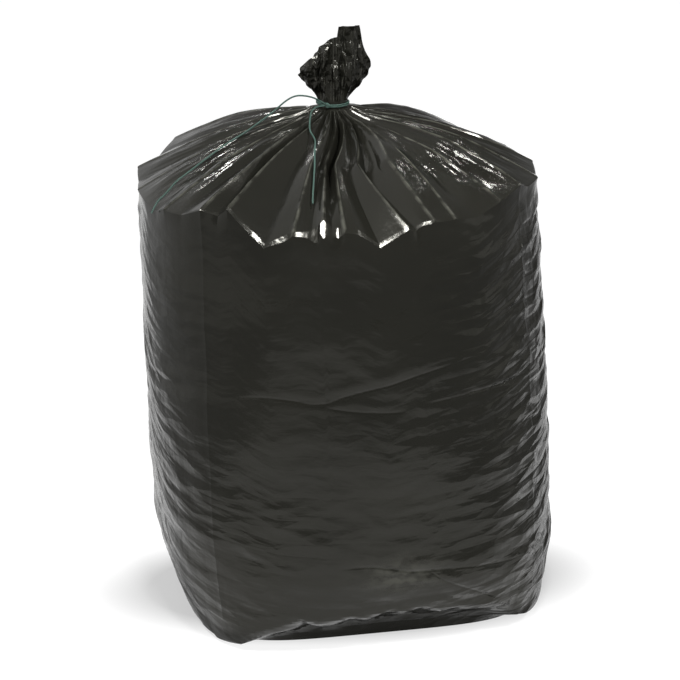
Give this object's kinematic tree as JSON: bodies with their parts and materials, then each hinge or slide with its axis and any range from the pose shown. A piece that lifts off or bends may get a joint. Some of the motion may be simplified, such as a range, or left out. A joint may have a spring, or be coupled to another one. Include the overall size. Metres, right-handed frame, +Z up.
{
  "type": "filled refuse sack",
  "caption": "Tall filled sack of thin black film with folded lower corners, gathered into pleats at the neck, tied with twine and fanned out above the tie.",
  "frame": {"origin": "middle of the flat base, on the floor", "axes": "+Z up through the body, -Y toward the front face, +X to the right seen from the front"},
  "size_m": [0.4606, 0.4242, 0.658],
  "materials": {
    "film": "thin glossy black polythene film, crumpled",
    "twine": "thin twisted green twine"
  },
  "bodies": {
    "root": {"refuse_sack": "film", "twine_wrap": "twine", "twine_tail_long": "twine", "twine_tail_short": "twine"}
  },
  "joints": []
}
